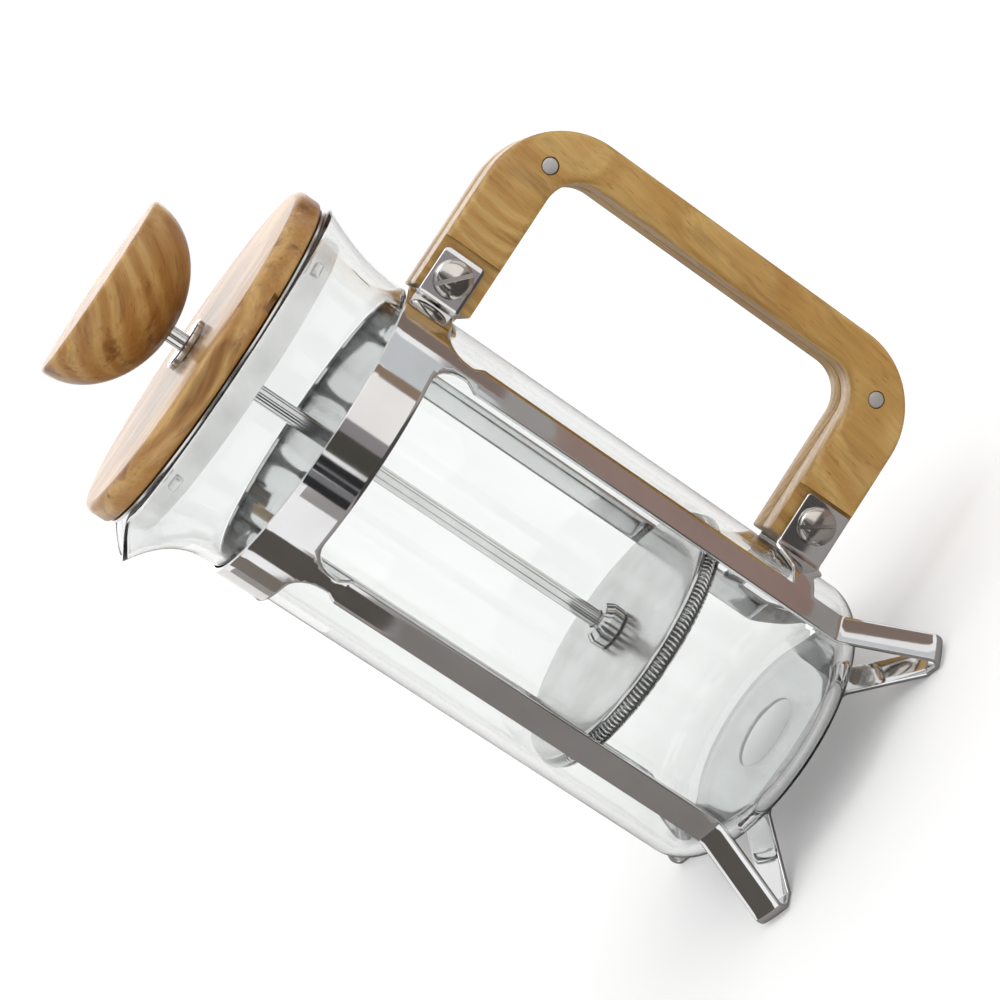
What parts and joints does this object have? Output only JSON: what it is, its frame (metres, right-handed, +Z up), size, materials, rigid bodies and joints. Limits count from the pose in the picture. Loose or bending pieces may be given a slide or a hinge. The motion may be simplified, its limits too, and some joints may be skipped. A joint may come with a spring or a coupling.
{
  "type": "french press",
  "caption": "Small french press: glass vessel in a polished steel cage with bent strap feet, olive-wood handle, lid and half-round knob, and a plunger with a sprung filter.",
  "frame": {"origin": "centre of the bounding box at the height of the foot soles", "axes": "+Z up along the vessel axis, +X towards the handle, spout towards -X, +Y to the side the screw nuts face"},
  "size_m": [0.133, 0.0822, 0.192],
  "materials": {
    "cage_steel": "mirror-polished bent strip",
    "handle_wood": "oiled olive wood, satin",
    "pin_metal": "ground flush, matte",
    "screw_steel": "polished domed head",
    "clear_glass": "clear borosilicate, fire-polished",
    "lid_wood": "oiled olive wood, satin",
    "lid_steel": "pressed sheet, bright",
    "fitting_steel": "turned and polished",
    "knob_wood": "turned and oiled olive wood",
    "insert_brass": "turned, plain",
    "rod_steel": "polished round bar",
    "filter_steel": "pressed sheet",
    "coil_steel": "coiled spring wire",
    "screen_mesh": "fine woven wire"
  },
  "bodies": {
    "frame": {"collar_band": "cage_steel", "strap_leg_front_right": "cage_steel", "strap_leg_back_right": "cage_steel", "strap_leg_back_left": "cage_steel", "strap_leg_front_left": "cage_steel", "base_ring": "cage_steel", "handle_half_front": "handle_wood", "handle_half_back": "handle_wood", "handle_pin_lower": "pin_metal", "handle_pin_upper": "pin_metal", "handle_screw_upper": "screw_steel", "handle_nut_upper": "screw_steel", "handle_screw_lower": "screw_steel", "handle_nut_lower": "screw_steel"},
    "vessel": {"glass_vessel": "clear_glass"},
    "lid": {"lid_disc": "lid_wood", "lid_liner": "lid_steel", "lid_bushing": "fitting_steel", "lid_nut": "fitting_steel"},
    "plunger": {"knob": "knob_wood", "knob_insert": "insert_brass", "plunger_rod": "rod_steel", "filter_hub": "fitting_steel", "filter_spring_plate": "filter_steel", "filter_coil_ring": "coil_steel", "filter_screen": "screen_mesh", "filter_cross_plate": "filter_steel", "filter_nut": "fitting_steel"}
  },
  "joints": [
    {"name": "vessel_lift", "type": "slide", "parent": "frame", "child": "vessel", "axis": [0, 0, 1], "range_m": [0, 0.13]},
    {"name": "lid_lift", "type": "slide", "parent": "vessel", "child": "lid", "axis": [0, 0, 1], "range_m": [0, 0.12]},
    {"name": "plunger_slide", "type": "slide", "parent": "lid", "child": "plunger", "axis": [0, 0, 1], "range_m": [-0.0033, 0.0955]}
  ]
}
